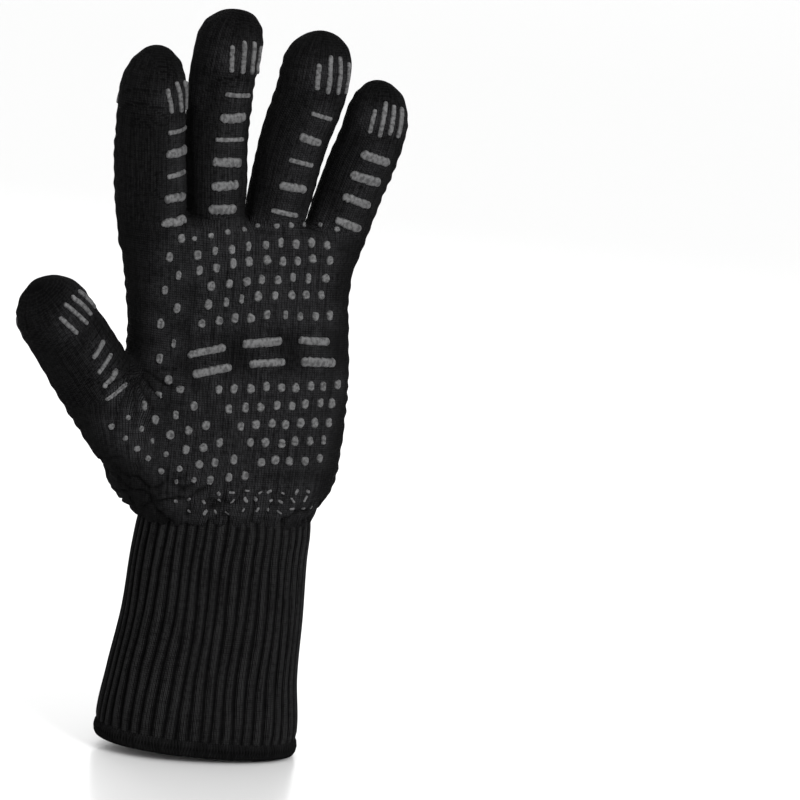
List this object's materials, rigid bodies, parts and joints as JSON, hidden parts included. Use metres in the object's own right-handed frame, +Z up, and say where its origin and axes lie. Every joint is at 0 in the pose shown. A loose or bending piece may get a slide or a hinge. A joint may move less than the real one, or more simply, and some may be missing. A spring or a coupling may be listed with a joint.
{
  "type": "heat resistant glove",
  "caption": "Left-hand heat resistant glove: knitted shell over a liner, silicone bars and dots on both sides, and a long ribbed cuff.",
  "frame": {"origin": "bottom centre of the bounding box, in the plane of the cuff rim", "axes": "+Z up along the cuff to the fingertips, palm towards -Y, back of the hand towards +Y, thumb towards -X"},
  "size_m": [0.1714, 0.0604, 0.331],
  "materials": {
    "knit": "near-black fine plain knit",
    "ribs": "near-black two by two rib knit",
    "hem": "near-black overlocked edge band",
    "liner": "dark grey cotton liner",
    "silicone": "dark grey printed silicone, satin gloss"
  },
  "bodies": {
    "cuff": {"cuff_hem_band": "hem", "cuff_ribs": "ribs", "cuff_liner": "liner", "wrist_fold": "ribs"},
    "hand": {"palm_knit": "knit", "palm_liner": "liner", "palm_dots_upper": "silicone", "palm_bars": "silicone", "palm_dots_lower": "silicone", "back_dots_upper": "silicone", "back_bars": "silicone", "back_dots_lower": "silicone", "index_knuckle_fold": "knit", "middle_knuckle_fold": "knit", "ring_knuckle_fold": "knit", "little_knuckle_fold": "knit", "thumb_base_fold": "knit"},
    "index_proximal": {"index_proximal_knit": "knit", "index_proximal_liner": "liner", "index_middle_fold": "knit"},
    "index_middle": {"index_middle_knit": "knit", "index_middle_liner": "liner", "index_tip_fold": "knit"},
    "index_tip": {"index_tip_knit": "knit", "index_tip_liner": "liner", "index_tip_grip": "silicone"},
    "middle_proximal": {"middle_proximal_knit": "knit", "middle_proximal_liner": "liner", "middle_middle_fold": "knit"},
    "middle_middle": {"middle_middle_knit": "knit", "middle_middle_liner": "liner", "middle_tip_fold": "knit"},
    "middle_tip": {"middle_tip_knit": "knit", "middle_tip_liner": "liner", "middle_tip_grip": "silicone"},
    "ring_proximal": {"ring_proximal_knit": "knit", "ring_proximal_liner": "liner", "ring_middle_fold": "knit"},
    "ring_middle": {"ring_middle_knit": "knit", "ring_middle_liner": "liner", "ring_tip_fold": "knit"},
    "ring_tip": {"ring_tip_knit": "knit", "ring_tip_liner": "liner", "ring_tip_grip": "silicone"},
    "little_proximal": {"little_proximal_knit": "knit", "little_proximal_liner": "liner", "little_middle_fold": "knit"},
    "little_middle": {"little_middle_knit": "knit", "little_middle_liner": "liner", "little_tip_fold": "knit"},
    "little_tip": {"little_tip_knit": "knit", "little_tip_liner": "liner", "little_tip_grip": "silicone"},
    "thumb_proximal": {"thumb_proximal_knit": "knit", "thumb_proximal_liner": "liner", "thumb_tip_fold": "knit"},
    "thumb_tip": {"thumb_tip_knit": "knit", "thumb_tip_liner": "liner", "thumb_tip_grip": "silicone"}
  },
  "joints": [
    {"name": "wrist", "type": "hinge", "parent": "cuff", "child": "hand", "pos_m": [0.02226, 0.00096, 0.0925], "axis": [1, 0, 0], "range_deg": [-30, 40], "deforming": ["wrist_fold"]},
    {"name": "index_knuckle", "type": "hinge", "parent": "hand", "child": "index_proximal", "pos_m": [-0.02768, 0.00028, 0.24601], "axis": [1, 0, 0], "range_deg": [-15, 60], "deforming": ["index_knuckle_fold"]},
    {"name": "index_middle_joint", "type": "hinge", "parent": "index_proximal", "child": "index_middle", "pos_m": [-0.03144, -0.00198, 0.26908], "axis": [1, 0, 0], "range_deg": [-5, 65], "deforming": ["index_middle_fold"]},
    {"name": "index_tip_joint", "type": "hinge", "parent": "index_middle", "child": "index_tip", "pos_m": [-0.03384, -0.00533, 0.28981], "axis": [1, 0, 0], "range_deg": [-3, 36], "deforming": ["index_tip_fold"]},
    {"name": "middle_knuckle", "type": "hinge", "parent": "hand", "child": "middle_proximal", "pos_m": [0.00164, 0.00069, 0.2484], "axis": [1, 0, 0], "range_deg": [-15, 60], "deforming": ["middle_knuckle_fold"]},
    {"name": "middle_middle_joint", "type": "hinge", "parent": "middle_proximal", "child": "middle_middle", "pos_m": [-0.00148, -0.001, 0.27702], "axis": [1, 0, 0], "range_deg": [-5, 65], "deforming": ["middle_middle_fold"]},
    {"name": "middle_tip_joint", "type": "hinge", "parent": "middle_middle", "child": "middle_tip", "pos_m": [-0.00243, -0.00444, 0.30273], "axis": [1, 0, 0], "range_deg": [-3, 36], "deforming": ["middle_tip_fold"]},
    {"name": "ring_knuckle", "type": "hinge", "parent": "hand", "child": "ring_proximal", "pos_m": [0.03102, 0.00069, 0.24771], "axis": [1, 0, 0], "range_deg": [-15, 60], "deforming": ["ring_knuckle_fold"]},
    {"name": "ring_middle_joint", "type": "hinge", "parent": "ring_proximal", "child": "ring_middle", "pos_m": [0.03429, -0.00105, 0.27454], "axis": [1, 0, 0], "range_deg": [-5, 65], "deforming": ["ring_middle_fold"]},
    {"name": "ring_tip_joint", "type": "hinge", "parent": "ring_middle", "child": "ring_tip", "pos_m": [0.03878, -0.00435, 0.29829], "axis": [1, 0, 0], "range_deg": [-3, 36], "deforming": ["ring_tip_fold"]},
    {"name": "little_knuckle", "type": "hinge", "parent": "hand", "child": "little_proximal", "pos_m": [0.06223, 0.00167, 0.2451], "axis": [1, 0, 0], "range_deg": [-15, 60], "deforming": ["little_knuckle_fold"]},
    {"name": "little_middle_joint", "type": "hinge", "parent": "little_proximal", "child": "little_middle", "pos_m": [0.0672, 0.00031, 0.26601], "axis": [1, 0, 0], "range_deg": [-5, 65], "deforming": ["little_middle_fold"]},
    {"name": "little_tip_joint", "type": "hinge", "parent": "little_middle", "child": "little_tip", "pos_m": [0.07114, -0.00247, 0.28476], "axis": [1, 0, 0], "range_deg": [-3, 36], "deforming": ["little_tip_fold"]},
    {"name": "thumb_base_joint", "type": "hinge", "parent": "hand", "child": "thumb_proximal", "pos_m": [-0.05044, -0.01018, 0.16962], "axis": [0.5944, 0.5479, 0.5886], "range_deg": [-12, 35], "deforming": ["thumb_base_fold"]},
    {"name": "thumb_tip_joint", "type": "hinge", "parent": "thumb_proximal", "child": "thumb_tip", "pos_m": [-0.06411, -0.0128, 0.18638], "axis": [0.6077, 0.5558, 0.5672], "range_deg": [-5, 50], "deforming": ["thumb_tip_fold"]}
  ],
  "couplings": [
    {"joint": "index_tip_joint", "follows": "index_middle_joint", "ratio": 0.55},
    {"joint": "middle_tip_joint", "follows": "middle_middle_joint", "ratio": 0.55},
    {"joint": "ring_tip_joint", "follows": "ring_middle_joint", "ratio": 0.55},
    {"joint": "little_tip_joint", "follows": "little_middle_joint", "ratio": 0.55}
  ]
}
